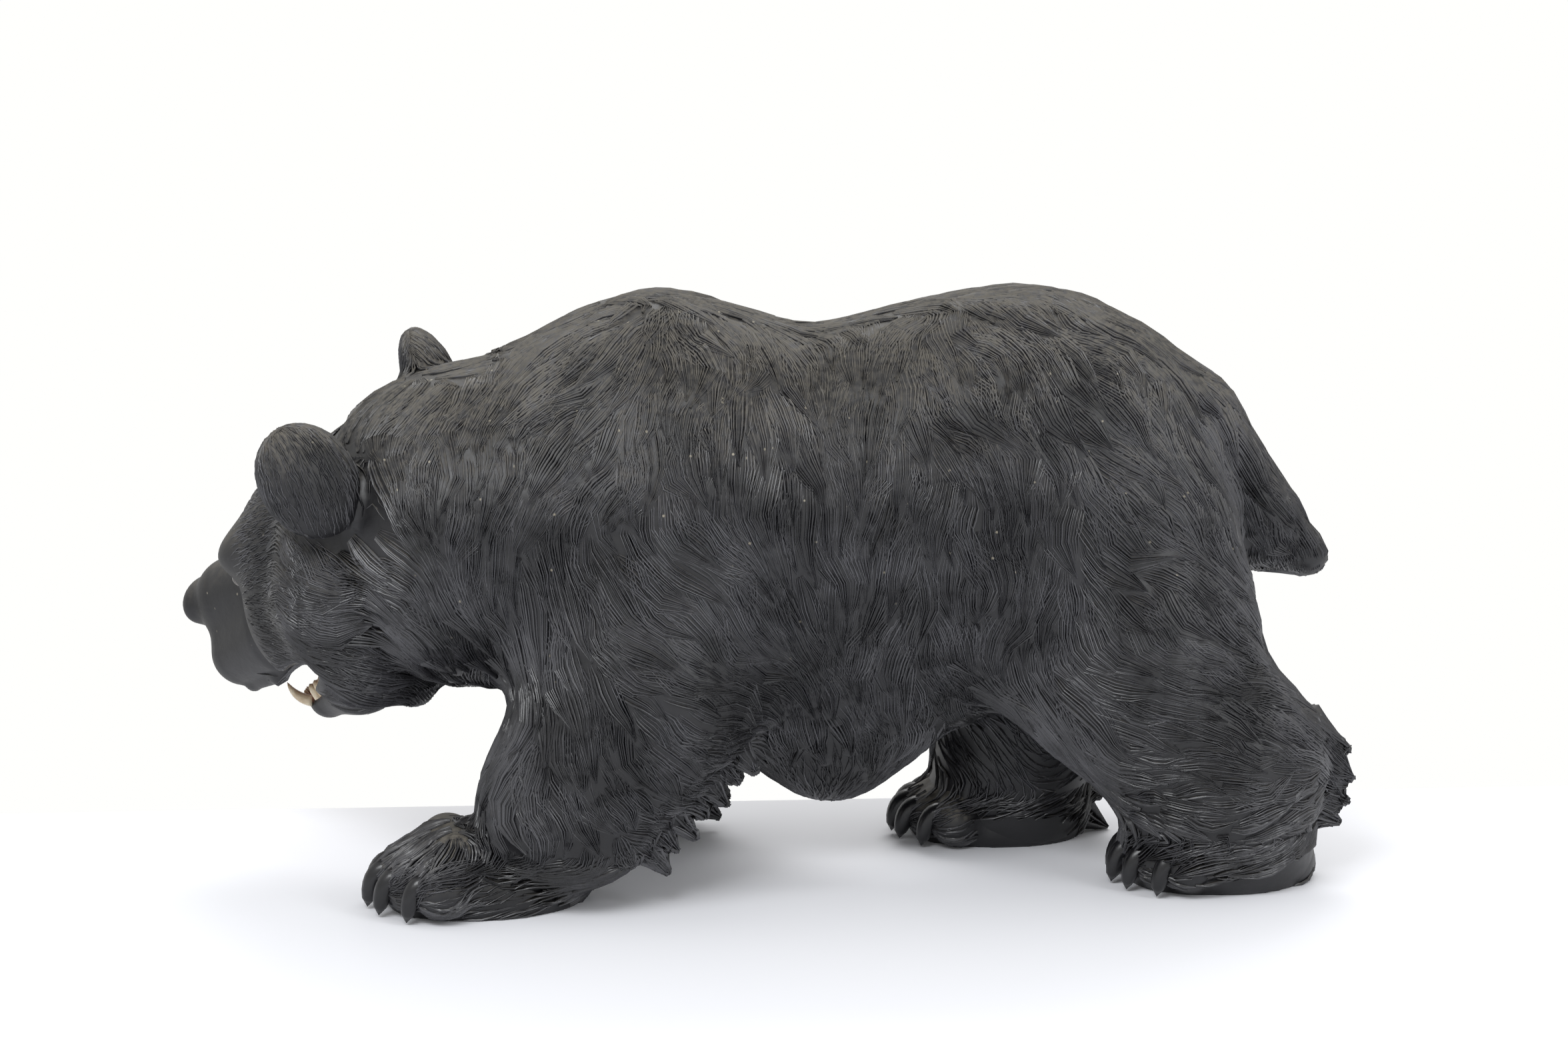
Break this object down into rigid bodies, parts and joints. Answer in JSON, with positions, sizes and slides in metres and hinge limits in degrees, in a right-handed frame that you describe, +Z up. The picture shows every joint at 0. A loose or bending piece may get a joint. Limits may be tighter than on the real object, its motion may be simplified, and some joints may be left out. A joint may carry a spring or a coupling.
{
  "type": "stone bear sculpture",
  "caption": "Solid black stone sculpture of a walking bear with carved fur, its head low and turned aside, standing on four flat soles.",
  "frame": {"origin": "on the floor, under the middle of the bear's bounding box", "axes": "+Z up; the bear faces -X with its tail to +X; its left side is -Y"},
  "size_m": [0.645, 0.2424, 0.3271],
  "materials": {
    "black_stone": "satin"
  },
  "bodies": {
    "root": {"bear": "black_stone"}
  },
  "joints": []
}
